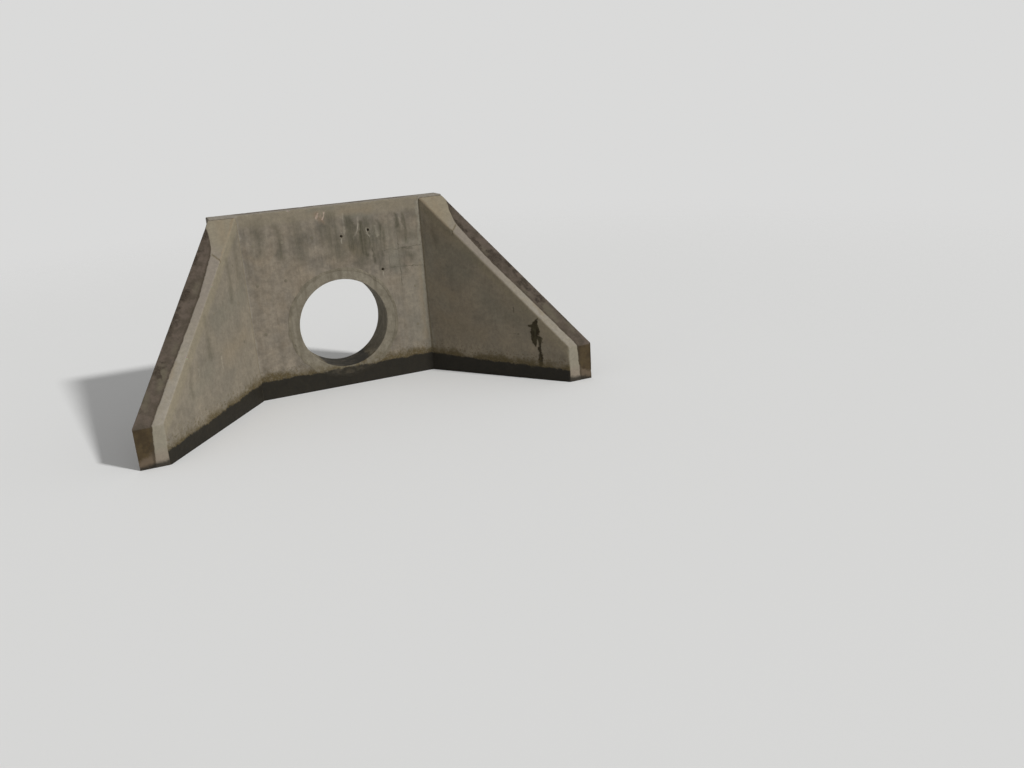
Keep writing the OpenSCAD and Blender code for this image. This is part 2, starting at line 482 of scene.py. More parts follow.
wingDetail = {
    # Where the pale strip along the channel edge ends: run along the wing and depth behind the face
    "stripRuns": (0.3, 0.42, 0.52, 0.6, 0.88, 1.07, 1.37, 1.95, 2.45),
    "stripEnds": (0.335, 0.214, 0.152, 0.127, 0.104, 0.093, 0.094, 0.107, 0.11),
    "stripFlare": 0.062,  # how much wider it gets for each metre down the end
    "stripDrop": 0.003,  # how far the rest lies lower
    "crackAt": 0.58,
    "crackEnd": 0.125,
    "crackWide": 0.004,
    "crackMossy": 0.01,
    "crackDeep": 0.009,
    "crackWaver": 0.006,
    "stripWaver": 0.003,
    "cakeTall": 0.011,  # caked soil along the bank side of the top
    "cakeRagged": 0.75,
}
wingSides = {
    # Bites out of the arrises: run, depth behind the face, lift above the top, radius
    # Cakes of soil: run, depth behind the face, half lengths
    "right_wing": {
        "side": 1,
        "seed": 17,
        "marks": rightMarks,
        "bites": [(1.42, -0.02, 0.009, 0.023), (2.05, 0.318, 0.01, 0.03)],
        "cakes": [
            (0.36, 0.28, 0.12, 0.04), (0.66, 0.155, 0.13, 0.03), (0.9, 0.15, 0.12, 0.032),
            (1.17, 0.185, 0.13, 0.09), (1.4, 0.26, 0.14, 0.06), (1.63, 0.24, 0.12, 0.07),
            (1.89, 0.21, 0.1, 0.08), (2.24, 0.29, 0.22, 0.022),
        ],
    },
    "left_wing": {
        "side": -1,
        "seed": 71,
        "marks": leftMarks,
        "bites": [(0.9, -0.02, 0.01, 0.03), (1.75, -0.018, 0.01, 0.034), (1.2, 0.32, 0.012, 0.035)],
        "cakes": [
            (0.45, 0.26, 0.16, 0.06), (0.72, 0.28, 0.12, 0.04), (1.15, 0.25, 0.14, 0.07),
            (1.48, 0.27, 0.22, 0.05), (2.02, 0.24, 0.13, 0.06),
        ],
    },
}


def addWing(name, node, v, own):
    # A box lattice drawn on to the wing's planes, then cracked, caked with soil and weathered
    thick, side, seed, crackAt = wingThick, own["side"], own["seed"], v["crackAt"]
    rim, crackRun = edge * 2, crackAt - v["crackEnd"] * math.tan(flare)
    runs = lines(jointRun, (jointRun + 0.02, 0.01), (crackRun, 0.012), (crackAt + 0.01, 0.003),
                 (wingLength - rim, 0.012), (wingLength, fineStep))
    thicks = lines(0, (rim, fineStep), (0.18, 0.009), (thick - rim, 0.013), (thick, fineStep))
    depths = lines(0, (rim, fineStep), (0.12, 0.016))
    shares = np.linspace(0, 1, 32)[:-1]
    (atRun, atThick, atUp), faces = boxShell(len(runs), len(thicks), len(shares) + len(depths))
    run, across = runs[atRun], thicks[atThick]
    depth = np.concatenate([np.full(len(shares), depths[-1]), depths[::-1]])[atUp]
    share = np.concatenate([shares, np.ones(len(depths))])[atUp]
    up = share * (wingTop(run) - depths[-1]) + np.where(share < 1, 0, depths[-1] - depth)
    points = np.stack([*wingPlan(run, across, side), up], 1)
    inRun = np.clip(run, anchorInset, wingLength - anchorInset)
    inUp = np.clip(up, anchorInset, wingTop(inRun) - 0.25)
    anchors = np.stack([*wingPlan(inRun, thick / 2, side), inUp], 1)
    places, normals, arris = wornShape(points, anchors, outerPlanes(node))
    s, t, low = placeOn(side, places).T
    fromCrack = s - crackAt - v["crackWaver"] * smoothNoise(places, 0.05, seed + 31)

    def alongCrack(wide, soft, deep, fade):
        # 1 on the crack, ending at its depth behind the face and at a drop below the top
        line = np.exp(-((fromCrack / wide) ** 2)) * step(v["crackEnd"] - t, 0, soft)
        return line * step(deep - low, 0, fade)

    crack = alongCrack(v["crackWide"], 0.006, 0.09, 0.05)
    mossy = alongCrack(v["crackMossy"], 0.012, 0.05, 0.03)
    beyond = t - np.interp(s, v["stripRuns"], v["stripEnds"]) - v["stripFlare"] * np.clip(low, 0, 1)
    beyond += v["stripWaver"] * layeredNoise(places, 0.11, seed + 35)
    places -= normals * (v["crackDeep"] * crack + v["stripDrop"] * step(beyond, -0.004, 0.006))[:, None]
    caked = np.zeros(len(places))
    for cakeRun, cakeDepth, halfRun, halfDepth in own["cakes"]:
        near = 1 - np.hypot((s - cakeRun) / halfRun, (t - cakeDepth) / halfDepth)
        near = near + v["cakeRagged"] * layeredNoise(places, 0.045, seed + 41, 4)
        caked = np.maximum(caked, step(near, -0.05, 0.65))
    caked *= step(0.02 - low, 0, 0.01) * step(thick - 0.01 - t, 0, 0.01) * step(beyond, -0.012, 0.004)
    crumbs = 0.55 + 0.45 * layeredNoise(places, 0.035, seed + 47)
    balls = [((*wingPlan(x, y, side), wingTop(x) + lift), radius) for x, y, lift, radius in own["bites"]]
    still = (run < jointRun + 0.012) | (normals[:, 2] < -0.5)
    beyond = np.where(t > thick - 0.004, -1.0, beyond)  # the buried side has the bank's stain instead
    places, broken = weathered(places, normals, arris, seed, balls, still)
    places += normals * (v["cakeTall"] * caked * crumbs)[:, None]
    piece = addPiece(name, places, faces, "cast_concrete", (node,))
    setFields(piece, places, np.stack([s, t, low], 1), own["marks"], topMarks,
              broken=broken, arris=arris, beyond=beyond, caked=caked, cracked=mossy)
    return piece


headDetail = {
    "bites": [
        ((-0.62, faceY - 0.012, height + 0.012), 0.034),
        ((0.83, faceY - 0.014, height + 0.014), 0.028),
        ((-1.2, -faceY + 0.012, height + 0.014), 0.04),
        ((0.35, -faceY + 0.012, height + 0.012), 0.03),
    ],
    "holes": [(0.11, 2.33), (0.53, 2.38), (0.7, 1.75)],  # open tie holes in the face
    "holeWide": 0.046,
    "holeEnd": 0.026,
    "holeDeep": 0.042,
    "holeLip": 0.003,  # how much the mouth is washed out
    "holeRagged": 0.09,
}


def aroundAxis(radius, y, angle, x=0.0, z=layout["pipeAxis"]):
    # From radius, place along an axis and turn to X, Y and Z. The axis is the pipe's where no other is given
    return np.stack([x + radius * np.sin(angle), y, z + radius * np.cos(angle)], -1).reshape(-1, 3)


def circle(turns):
    return np.arange(turns) / turns * 2 * math.pi


def coneCutter(x, z, v, seed):
    # Rings of points from just outside the face to the hole's end, with a ragged mouth
    turns, deep = 40, v["holeDeep"]
    y, angle = np.meshgrid([-0.006, 0.0, 0.006, 0.014, 0.024, 0.034, deep], circle(turns), indexing="ij")
    radius = np.interp(y, [0, deep], [v["holeWide"] / 2, v["holeEnd"] / 2])
    radius = radius + v["holeLip"] * np.exp(-np.maximum(y, 0) / (v["holeLip"] * 2))
    flat = np.stack([x + radius * np.sin(angle), z + radius * np.cos(angle), y], -1).reshape(-1, 3)
    radius = radius * (1 + v["holeRagged"] * layeredNoise(flat, 0.012, seed)).reshape(radius.shape)
    return aroundAxis(radius, faceY + y, angle, x, z), tubeShell(len(y), turns)


def holeCutter():
    # A drum through the wall, on the pipe's axis
    turns, rings = 220, np.linspace(faceY - 0.02, -faceY + 0.02, 12)
    angle, y = np.meshgrid(circle(turns), rings)
    return aroundAxis(holeRadius + 0.0004 + 0 * y, y, angle), tubeShell(len(rings), turns)


def cut(piece, cutters):
    # Takes the closed cutters out of the piece, and keeps the result as its mesh
    mesh = piece.data
    for points, faces in cutters:
        tool = bpy.data.meshes.new("cutter")
        tool.from_pydata(points.tolist(), [], faces.tolist())
        knife = addObject("cutter", tool)
        boolean = piece.modifiers.new("cut", "BOOLEAN")
        boolean.operation, boolean.solver, boolean.object = "DIFFERENCE", "MANIFOLD", knife
        bpy.context.view_layer.update()
        result = bpy.data.meshes.new_from_object(piece.evaluated_get(bpy.context.evaluated_depsgraph_get()))
        piece.modifiers.clear()
        piece.data = result
        bpy.data.objects.remove(knife)
        bpy.data.meshes.remove(tool)
    piece.data.name = piece.name
    bpy.data.meshes.remove(mesh)
    piece.data.set_sharp_from_angle(angle=math.radians(40))


def addHeadwall(v):
    # A box lattice drawn on to the wall's planes and weathered, then cut by the tie holes and the pipe's hole
    half, rim, past = wallHigh.x, edge * 2, cornerX + fineStep
    xs = lines(-half, (rim - half, fineStep), (-past, 0.03), (-cornerX, fineStep), (cornerX, 0.014),
               (past, fineStep), (half - rim, 0.03), (half, fineStep))
    ys = lines(faceY, (faceY + rim, fineStep), (-faceY - rim, 0.026), (-faceY, fineStep))
    zs = lines(0, (height - 0.12, 0.02), (height - rim, 0.012), (height, fineStep))
    index, faces = boxShell(len(xs), len(ys), len(zs))
    points = np.stack([places[i] for places, i in zip((xs, ys, zs), index)], 1)
    inset = anchorInset
    anchors = np.clip(points, [inset - half, 0, inset], [half - inset, 0, height - inset])
    normals, offsets = outerPlanes("headwall")
    slant = np.array([0, -1, 1]) / math.sqrt(2)
    planes = np.vstack([normals, slant]), np.append(offsets, slant @ [0, faceY, height - edge])
    places, normals, arris = wornShape(points, anchors, planes, np.abs(points[:, 0]) < cornerX + 0.001)
    still = (np.abs(places[:, 0]) > cornerX - 0.001) & (places[:, 1] < faceY + 0.001) | (normals[:, 2] < -0.5)
    places, broken = weathered(places, normals, arris, 5, v["bites"], still)
    piece = addPiece("headwall_cast", places, faces, "cast_concrete", ("headwall",))
    setFields(piece, places, placeOn(0, places), headMarks, headTopMarks,
              broken=broken, arris=arris, beyond=np.full(len(places), -1.0))
    cut(piece, [holeCutter()] + [coneCutter(x, z, v, 40 + i) for i, (x, z) in enumerate(v["holes"])])
    return piece


headwall = addHeadwall(headDetail)
rightWing, leftWing = (addWing(node + "_cast", node, wingDetail, own) for node, own in wingSides.items())
print("walls made:", [len(o.data.polygons) for o in (headwall, rightWing, leftWing)])


def outline(corners, most, trim):
    # Points along a closed outline, with each corner cut by a small bevel
    points = []
    for a, b in zip(corners, np.roll(corners, -1, 0)):
        way, count = unit(b - a) * trim, max(1, math.ceil(np.linalg.norm(b - a) / most))
        points.append(np.linspace(a + way, b - way, count + 1))
    return np.concatenate(points)


pipeDetail = {
    "inner": 0.686,
    "groove": 0.764,
    "grooveDeep": 0.09,
    "turns": 240,
    "most": 0.022,  # widest step along the outline
    "trim": 0.005,
    "chip": 0.004,
    "grit": 0.0006,
    "rings": 0.0005,  # height and spacing of the rings
    "ringEvery": 0.016,
}


def addPipe(v):
    # A closed outline turned about the pipe's axis, with the fine rings that spinning leaves
    front, back, inner = pipeLow.y, pipeHigh.y, v["inner"]
    stop = back - v["grooveDeep"]
    corners = [(inner, front), (inner, stop), (v["groove"], stop), (v["groove"], back), (pipeRadius, back),
               (pipeRadius, front)]
    rim = outline(np.array(corners), v["most"], v["trim"])
    tangent = unit(np.roll(rim, -1, 0) - np.roll(rim, 1, 0))
    angle, radius = np.meshgrid(circle(v["turns"]), rim[:, 0], indexing="ij")
    y = np.broadcast_to(rim[:, 1], radius.shape)
    points = aroundAxis(radius, y, angle)
    inside = (radius < inner + 0.002).ravel()
    rough = v["grit"] * layeredNoise(points, 0.05, 61)
    rough += v["rings"] * inside * smoothNoise(points * [0, 1, 0], v["ringEvery"], 64)
    bevel = np.minimum(np.abs(radius - inner), np.abs(radius - pipeRadius)) + (y - front)
    chips = step(layeredNoise(points, 0.05, 66), 0.6, 1.1) * step(0.012 - bevel.ravel(), 0, 0.008)
    move = (-0.0004 + rough - v["chip"] * chips).reshape(radius.shape)
    points = aroundAxis(radius - tangent[:, 1] * move, y + tangent[:, 0] * move, angle)
    shell = tubeShell(v["turns"], len(rim), True)
    piece = addPiece("pipe_end_spun", points, shell, "pipe_concrete", ("pipe_end",))
    setField(piece, "broken", chips)
    return piece


mortarDetail = {
    "turns": 360,
    "across": 14,  # points across the front
    "smear": 0.016,
    "outward": (0.75, 0.7),  # share of the smear beyond the joint, and how uneven it is
    "inward": (0.55, 0.6),
    "lumps": (0.65, 0.45),
    "proud": 0.0035,
    "thinnest": 0.0016,
    "sunk": 0.0013,
    "slack": 0.0008,
}


def addMortar(v):
    # A ring with a smeared, trowelled front over the joint, and a plain body between pipe and wall
    turn, outward, inward, lumpy = circle(v["turns"]), v["outward"], v["inward"], v["lumps"]
    around = aroundAxis(np.full(len(turn), holeRadius), np.zeros(len(turn)), turn)
    outerEdge = holeRadius + v["smear"] * (outward[0] + outward[1] * layeredNoise(around, 0.12, 81))
    innerEdge = pipeRadius - v["smear"] * (inward[0] + inward[1] * layeredNoise(around, 0.1, 85))
    share = np.linspace(0, 1, v["across"])
    radius = innerEdge[:, None] + (outerEdge - innerEdge)[:, None] * share
    flat = aroundAxis(radius, np.zeros(radius.shape), turn[:, None] + 0 * radius)
    lumps = (lumpy[0] + lumpy[1] * layeredNoise(flat, 0.035, 88)).reshape(radius.shape)
    front = faceY - (v["proud"] * np.sin(math.pi * share) ** 0.6 * lumps + v["thinnest"])
    under, back = faceY - v["sunk"], ringHigh.y
    outer, inner = holeRadius - v["slack"], pipeRadius + v["slack"]
    body = np.broadcast_to([outer, outer, inner, inner], (len(turn), 4))
    radius = np.concatenate([radius, outerEdge[:, None], body, innerEdge[:, None]], 1)
    rest = np.broadcast_to([under, under, back, back, under, under], (len(turn), 6))
    points = aroundAxis(radius, np.concatenate([front, rest], 1), turn[:, None] + 0 * radius)
    shell = tubeShell(len(turn), radius.shape[1], True)
    return addPiece("mortar_pointing", points, shell, "mortar", ("mortar_ring",), 60)


sealantDetail = {"back": 0.004, "deep": 0.028, "hollow": 0.0035, "ripple": 0.0012, "rows": 360, "across": 9}


def addSealant(joint, side, v, seed):
    # A bead drawn up the joint. Its front is hollow between the two walls, with ripples from the tool
    node = joint + "_sealant"
    front = np.linspace(0, 1, v["across"])
    rear = v["back"] + v["deep"] * np.array([1, 1, 0.5])
    depth = np.concatenate([v["back"] + v["hollow"] * np.sin(math.pi * front), rear])
    share = np.concatenate([front, [1.0, 0.0, 0.0]])
    z, across = np.meshgrid(np.linspace(0.001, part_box(node)[1].z, v["rows"]), share, indexing="ij")
    x, y = wingPlan(jointRun * (0.02 + 0.96 * across), 0.0, side)
    flat = np.stack([x, y, z], -1).reshape(-1, 3)
    ripple = v["ripple"] * layeredNoise(flat, 0.045, seed).reshape(z.shape)
    deep = depth + np.where(np.arange(len(share)) < v["across"], ripple + v["ripple"], 0)
    points = np.stack([x + side * deep, y, z], -1).reshape(-1, 3)
    return addPiece(joint + "_bead", points, tubeShell(*z.shape), "joint_sealant", (node,))


boardDetail = {"fray": 0.0035, "fibre": 0.0008, "front": 0.032, "back": 0.012, "below": 0.016}


def addBoard(joint, side, v, seed):
    # The filler board: its planes worn back a little, with frayed, uneven top fibres
    node = joint + "_filler"
    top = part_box(node)[1].z
    inner, outer = v["front"] * math.cos(flare), wingThick - v["back"] * math.cos(flare)
    runs, thicks = lines(0, (jointRun, fineStep)), lines(inner, (outer, 0.008))
    shares = lines(0, (0.97, 0.025), (1, fineStep))
    (atRun, atThick, atUp), faces = boxShell(len(runs), len(thicks), len(shares))
    run, across = runs[atRun], thicks[atThick]
    up = shares[atUp] * (wingTop(run) - v["below"])
    points = np.stack([*wingPlan(run, across, side), up], 1)
    middle = wingPlan(np.full(len(run), jointRun / 2), np.clip(across, inner + 0.01, outer - 0.01), side)
    anchors = np.stack([*middle, np.clip(up, 0.01, top - 0.05)], 1)
    places, normals, _ = wornShape(points, anchors, outerPlanes(node), round=0.0008)
    fibre = layeredNoise(places * [1, 1, 0.15], 0.004, seed)
    frayed = step(places[:, 2], top - 0.03, top - 0.02)
    move = -v["fibre"] * (0.8 + 0.5 * fibre)
    move -= v["fray"] * frayed * (0.5 + 0.5 * layeredNoise(places, 0.009, seed + 4))
    move = np.where(normals[:, 2] < -0.5, 0.0, move)
    return addPiece(joint + "_board", places + normals * move[:, None], faces, "joint_board", (node,))


def onWall(wall, a, z):
    # A place on one of the upright faces and the direction out of it: a runs along X or along the wing
    if wall in ("front", "back"):
        out = -1.0 if wall == "front" else 1.0
        return np.stack([a, np.full(len(a), out * -faceY), z], 1), np.array([0, out, 0])
    side = 1.0 if wall.startswith("right") else -1.0
    outer = wall.endswith("Outer")
    x, y = wingPlan(a, wingThick if outer else 0.0, side)
    out = np.array([-side * along[1], along[0], 0]) * (1 if outer else -1)
    return np.stack([x, y, z], 1), out


def swept(spine, aside, sides, out, lifts):
    # A ring of points carried along a line on a wall, from its places aside and out of the wall
    rows = spine[:, None] + aside * sides[..., None] + out * lifts[..., None]
    return rows.reshape(-1, 3), tubeShell(*sides.shape)


finDetail = {"every": 0.011, "wide": 0.0055, "uneven": 0.002, "sway": 0.0016, "sunk": 0.0035}


def ridge(wall, a0, z0, a1, z1, tall, seed):
    # A thin fin of paste squeezed out between two form panels: a low crest along a line, broken by noise
    v = finDetail
    count = max(8, int(math.hypot(a1 - a0, z1 - z0) / v["every"]))
    share = np.linspace(0, 1, count)
    spine, out = onWall(wall, a0 + (a1 - a0) * share, z0 + (z1 - z0) * share)
    aside = np.cross(out, unit(spine[-1] - spine[0]))
    crest = tall * np.clip(0.45 + 0.9 * layeredNoise(spine, 0.11, seed), -1.2, 1)
    crest = crest * np.minimum(1, 20 * share * (1 - share))
    spine = spine + aside * (v["sway"] * smoothNoise(spine, 0.06, seed + 5))[:, None]
    wide = v["wide"] + v["uneven"] * smoothNoise(spine, 0.08, seed + 7)
    sides = wide[:, None] * [-0.5, -0.34, -0.1, 0.14, 0.36, 0.5]
    lifts = crest[:, None] * [0, 0.3, 1.0, 0.85, 0.25, 0] - np.array([1, 0, 0, 0, 0, 1]) * v["sunk"]
    return swept(spine, aside, sides, out, lifts)


plugDetail = {
    "radius": 0.024,
    "turns": 28,
    "shares": [1.0, 1.0, 0.9, 0.66, 0.36, 0.12],  # rings, as shares of the radius, and their heights
    "lifts": [-0.003, 0.0002, 0.0012, 0.0017, 0.0016, 0.0015],
    "ragged": 0.13,
    "rough": 0.0004,
}


def plug(wall, a, z, seed):
    # A patched tie hole: a shallow trowelled dome with a ragged rim
    v, angle = plugDetail, circle(plugDetail["turns"])
    shares, lifts = np.array(v["shares"])[:, None], np.array(v["lifts"])[:, None]
    centre, out = onWall(wall, np.array([a]), np.array([z]))
    aside = np.cross(out, [0, 0, 1])
    rim = np.cos(angle)[:, None] * aside + np.sin(angle)[:, None] * np.array([0, 0, 1])
    reach = v["radius"] * (1 + v["ragged"] * layeredNoise(centre + rim * v["radius"], 0.02, seed))
    flat = centre + rim[None] * (shares * reach)[..., None]
    rough = smoothNoise(flat.reshape(-1, 3), 0.012, seed + 3).reshape(flat.shape[:2])
    lift = lifts + v["rough"] * rough
    return (flat + out * lift[..., None]).reshape(-1, 3), tubeShell(len(shares), len(angle))


crustDetail = {"rows": 60, "ring": 10, "thick": 0.0018, "leastWide": 0.0006, "leastThick": 0.0002}


def crust(wall, a0, z0, a1, z1, bow, half, seed):
    # Lime that has run from a hole and set: a flat bowed tongue, widest a third of the way down
    v = crustDetail
    share, turn = np.linspace(0, 1, v["rows"]), circle(v["ring"])
    middle = a0 + (a1 - a0) * share - bow * np.sin(math.pi * share)
    spine, out = onWall(wall, middle, z0 + (z1 - z0) * share)
    aside = np.cross(out, [0, 0, 1])
    spine = spine + aside * (half * 0.5 * smoothNoise(spine, 0.07, seed))[:, None]
    uneven, lumpy = (layeredNoise(spine, size, seed + i) for size, i in ((0.03, 2), (0.02, 5)))
    wide = half * np.sin(math.pi * share**0.7) ** 0.7 * (1 + 0.3 * uneven) + v["leastWide"]
    thick = v["thick"] * np.sin(math.pi * share**0.6) * (0.7 + 0.5 * lumpy) + v["leastThick"]
    return swept(spine, aside, np.cos(turn) * wide[:, None], out, np.sin(turn) * thick[:, None])


def tieGrid(*runs):
    # Tie places in four levels, below the greatest height that is given with each run along the wing
    return [(run, z) for run, top in runs for z in (0.42, 1.02, 1.6, 2.14) if z < top]


# Lines left by the form panels, by wall and face: from (along, up), to (along, up), height of the fin
outerFins = [(run, 0.02, run, top, 0.0024) for run, top in ((0.61, 2.18), (1.22, 1.62), (1.83, 1.06))]
outerFins.append((0.05, 1.22, 1.66, 1.222, 0.0022))
finRows = {
    "headwall": {
        "front": [
            (0.98, 0.3, 0.98, 2.24, 0.0018), (0.822, 1.66, 0.822, 2.0, 0.0014),
            (0.98, 2.045, cornerX, 2.05, 0.0018), (0.83, 1.768, cornerX, 1.728, 0.0016),
            (0.9, 1.115, cornerX, 1.115, 0.0012), (-0.22, 1.9, -0.22, 2.74, 0.0012),
            (-0.83, 1.86, -0.83, 2.76, 0.0018), (-1.0, 0.02, -1.0, 1.8, 0.0016),
            (-cornerX, 2.06, -0.22, 2.066, 0.0014), (-cornerX, 1.115, -0.86, 1.115, 0.0014),
        ],
        "back": [
            (-1.1, 0.02, -1.1, 2.76, 0.0024), (0.12, 1.88, 0.12, 2.76, 0.0024),
            (1.34, 0.02, 1.34, 2.76, 0.0024), (-1.74, 1.22, -0.86, 1.222, 0.0022),
            (0.86, 1.22, 1.74, 1.224, 0.0022), (-1.74, 2.44, 1.74, 2.436, 0.0024),
        ],
    },
    "right_wing": {
        "rightFace": [(0.62, 0.9, 0.62, 2.1, 0.0009), (0.05, 1.22, 1.05, 1.22, 0.0009)],
        "rightOuter": outerFins,
    },
    "left_wing": {
        "leftFace": [
            (0.62, 0.35, 0.62, 2.18, 0.0014), (0.05, 1.22, 1.66, 1.222, 0.0014),
            (1.84, 0.3, 1.84, 1.06, 0.0014),
        ],
        "leftOuter": outerFins,
    },
}
outerTies = tieGrid((0.3, 2.3), (0.92, 1.7), (1.54, 1.2), (2.14, 0.6))
plugSpots = {
    "headwall": {
        "front": [
            (-0.33, 2.36), (-0.78, 2.35), (-1.2, 2.34), (-0.8, 1.78),
            (-1.22, 1.76), (1.2, 1.42), (-1.2, 1.02), (1.18, 0.8),
        ],
        "back": [(a, z) for a in (-1.45, -0.75, 0.48, 1.05) for z in (2.1, 2.62)]
        + [(a, z) for a in (-1.45, 1.55) for z in (0.45, 1.05, 1.6)],
    },
    "right_wing": {"rightOuter": outerTies},
    "left_wing": {
        "leftFace": tieGrid((0.3, 2.3), (0.94, 1.7), (1.52, 1.2), (2.16, 0.6)),
        "leftOuter": outerTies,
    },
}
crustRows = {"front": [  # from (along, up), to (along, up), bow to the left, half width
    (0.506, 2.41, 0.548, 2.27, 0.012, 0.008), (0.11, 2.305, 0.106, 2.22, 0.004, 0.006),
    (0.702, 1.722, 0.706, 1.64, 0.003, 0.006), (0.384, 2.5, 0.322, 2.3, -0.014, 0.0045),
]}


def many(make, faces, seed, apart):
    # One pair of arrays from all the rows of these faces, each with a seed of its own
    rows = [(face, *row) for face, rows in faces.items() for row in rows]
    return joined([make(*row, seed + apart * i) for i, row in enumerate(rows)])


pipe, mortar = addPipe(pipeDetail), addMortar(mortarDetail)
joints = (("right_joint", 1, 0), ("left_joint", -1, 6))
sealants = [addSealant(joint, side, sealantDetail, 91 + i) for joint, side, i in joints]
boards = [addBoard(joint, side, boardDetail, 101 + i) for joint, side, i in joints]
fins, plugs = [], []
for wall, rows in finRows.items():
    points, faces = many(ridge, rows, 120, 11)
    fin = addPiece(wall + "_form_fins", points, faces, "cast_concrete")
    own = wingSides.get(wall, {"side": 0, "marks": headMarks})
    where, beyond = placeOn(own["side"], points), np.full(len(points), -1.0)
    setFields(fin, points, where, own["marks"], {}, beyond=beyond)
    fins.append(fin)
for wall, rows in plugSpots.items():
    plugs.append(addPiece(wall + "_tie_patches", *many(plug, rows, 300, 7), "mortar"))
crusts = addPiece("lime_runs", *many(crust, crustRows, 400, 9), "mortar")
fittings = [pipe, mortar, crusts, *sealants, *boards, *fins, *plugs]
print("fittings made:", sum(len(o.data.polygons) for o in fittings))


class Value:
    # An output of a shader node, so that formulas over nodes are written with + - and *
    def __init__(self, socket):
        self.socket = socket

    def __add__(self, other):
        return calc("ADD", self, other)

    def __sub__(self, other):
        return calc("SUBTRACT", self, other)

    def __rsub__(self, other):
        return calc("SUBTRACT", other, self)

    def __mul__(self, other):
        return calc("MULTIPLY", self, other)

    __radd__, __rmul__ = __add__, __mul__


def feed(made, inputs):
    # Gives a node's inputs numbers or other nodes' values, and returns its outputs by number and by name
    for name, value in inputs.items():
        if isinstance(value, Value):
            made.id_data.links.new(value.socket, made.inputs[name])
        else:
            made.inputs[name].default_value = value
    return {key: Value(socket) for i, socket in enumerate(made.outputs) for key in (i, socket.name)}


def addNode(kind, inputs, tree=None, **settings):
    # Makes a node with its options, in the tree that its inputs come from where none is given
    tree = tree or next(value.socket.id_data for value in inputs.values() if isinstance(value, Value))
    made = tree.nodes.new("ShaderNode" + kind)
    for name, value in settings.items():
        setattr(made, name, value)
    return feed(made, inputs)


def calc(kind, *inputs, clamp=False):
    return addNode("Math", dict(enumerate(inputs)), operation=kind, use_clamp=clamp)[0]


def larger(first, second):
    return calc("MAXIMUM", first, second)


def vectorCalc(kind, *inputs):
    return addNode("VectorMath", dict(enumerate(inputs)), operation=kind)


def rise(value, low, high, first=0.0, last=1.0):
    # first below low, last above high, with a smooth step between
    inputs = {"Value": value, "From Min": low, "From Max": high, "To Min": first, "To Max": last}
    return addNode("MapRange", inputs, interpolation_type="SMOOTHSTEP")["Result"]


def drop(value, low, high, most=1.0):
    # The other way round: most below low, and 0 above high
    return rise(value, low, high, most, 0.0)


def blend(share, under, over, kind="MIX"):
    # A mix of two colours. Each is a value, four numbers or the name of a wall paint
    under, over = (wallPaint[tone] if isinstance(tone, str) else tone for tone in (under, over))
    return addNode("Mix", {0: share, 6: under, 7: over}, data_type="RGBA", blend_type=kind)[2]


def coats(colour, *layers):
    # Lays tones over a colour one by one, each with its share
    for share, tone in layers:
        colour = blend(share, colour, tone)
    return colour


def shaded(colour, shade):
    # The colour, darkened or lightened by a number
    return blend(1.0, colour, addNode("CombineColor", {0: shade, 1: shade, 2: shade})[0], "MULTIPLY")


def noise(vector, scale, detail=4.0, rough=0.55, distort=0.0, key="Fac"):
    inputs = {"Vector": vector, "Scale": scale, "Detail": detail, "Roughness": rough, "Distortion": distort}
    return addNode("TexNoise", inputs)[key]


def noisy(vector, low, high, scale, detail, rough, first=0.0, last=1.0):
    # Soft patches: the noise's rise between two levels
    return rise(noise(vector, scale, detail, rough), low, high, first, last)


def shaken(value, mask, reach):
    # The value, moved up and down by a mask's departure from its middle
    return (mask - 0.5) * reach + value


def stretched(vector, z, shift=0.0):
    inputs = {"Vector": vector, "Location": (shift, shift, shift), "Scale": (1, 1, z)}
    return addNode("Mapping", inputs)["Vector"]


def split(vector):
    parts = addNode("SeparateXYZ", {0: vector})
    return parts[0], parts[1], parts[2]


def attribute(tree, name):
    return addNode("Attribute", {}, tree, attribute_name=name)


def makeGroup(formula, vectors, numbers):
    # A group of nodes from a formula over named inputs, vectors first, with numbers as its results
    tree = bpy.data.node_groups.new(formula.__name__, "ShaderNodeTree")
    for titles, kind in ((vectors, "NodeSocketVector"), (numbers, "NodeSocketFloat")):
        for title in titles:
            tree.interface.new_socket(title, in_out="INPUT", socket_type=kind)
    start = feed(tree.nodes.new("NodeGroupInput"), {})
    results = formula(*[start[title] for title in vectors + numbers])
    for title in results:
        tree.interface.new_socket(title, in_out="OUTPUT", socket_type="NodeSocketFloat")
    feed(tree.nodes.new("NodeGroupOutput"), results)
    return tree


def useGroup(group, **inputs):
    return addNode("Group", inputs, node_tree=group)


def castGrain(vector, pinholes):
    # Cloudy tone, fine tone and the height of a cast surface with pinholes
    fine, speck = noise(vector, 21.0, 6.0, 0.66), noise(vector, 240.0, 3.0, 0.6)
    cells = addNode("TexVoronoi", {"Vector": vector, "Scale": 34.0, "Randomness": 1.0}, feature="F1")
    picked = addNode("SeparateColor", {0: cells["Color"]})
    hole = drop(cells["Distance"] - picked[1] * 0.13, -0.03, 0.03)
    hole = hole * calc("GREATER_THAN", pinholes, picked[0])
    height = hole * -1.3 + (fine * 0.55 + speck * 0.3)
    cloud = noise(vector, 1.7, 5.0, 0.62, 0.4)
    return {"cloud": cloud, "fine": fine, "speck": speck, "height": height, "hole": hole}


def runOff(vector, low, start, reach, scale, cover):
    # Upright streaks: noise drawn out along Z, that starts and ends at ragged depths below the top
    plan = stretched(vector, 0.0, 3.0)
    first = shaken(start, noise(plan, 11.0, 3.0, 0.7), 0.55)
    last = shaken(reach, noise(plan, 5.0, 3.0, 0.7), 1.6)
    thin = noise(stretched(vector, 0.07), scale, 4.0, 0.6, 0.15)
    band = rise(thin - (cover * -0.3 + 0.72), -0.1, 0.14)
    return {"mask": rise(low - first, 0.0, 0.16) * drop(low - last, -0.4, 0.4) * band}


